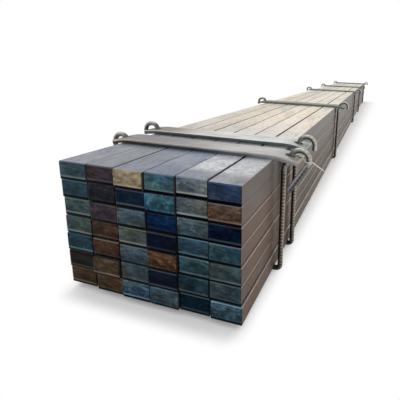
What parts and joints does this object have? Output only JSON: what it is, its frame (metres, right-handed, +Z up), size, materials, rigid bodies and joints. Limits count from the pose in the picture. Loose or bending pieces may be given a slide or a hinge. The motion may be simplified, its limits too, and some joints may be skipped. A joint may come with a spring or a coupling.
{
  "type": "bundle of steel flat bars",
  "caption": "Mill-length bundle of rolled stainless steel flat bars, stacked in layers and clamped by ribbed rebar hoops hooked through drilled flat crosspieces.",
  "frame": {"origin": "on the floor, under the middle of the bundle's bounding box", "axes": "+X across the bundle towards the side with the long hook tail, +Y along the bars away from the end with two clamps close together, +Z up"},
  "size_m": [0.4132, 4.008, 0.2459],
  "materials": {
    "bar_steel": "hot-rolled stainless steel with a thin mixed-tint mill scale, semi-matte",
    "crosspiece_steel": "hot-rolled stainless flat bar, dull beige-grey, edges slightly bright",
    "hoop_steel": "ribbed reinforcing bar, dark grey-brown oxide with bright worn ribs",
    "wire_steel": "drawn tie wire, pale and slightly shiny"
  },
  "bodies": {
    "root": {"layer_1": "bar_steel", "layer_2": "bar_steel", "layer_3": "bar_steel", "layer_4": "bar_steel", "layer_5": "bar_steel", "layer_6": "bar_steel", "layer_7": "bar_steel", "crosspiece_1": "crosspiece_steel", "crosspiece_2": "crosspiece_steel", "crosspiece_3": "crosspiece_steel", "crosspiece_4": "crosspiece_steel", "crosspiece_5": "crosspiece_steel", "crosspiece_6": "crosspiece_steel", "hoop_1": "hoop_steel", "hoop_2": "hoop_steel", "hoop_3": "hoop_steel", "hoop_4": "hoop_steel", "hoop_5": "hoop_steel", "hoop_6": "hoop_steel", "tie_wire": "wire_steel"}
  },
  "joints": []
}
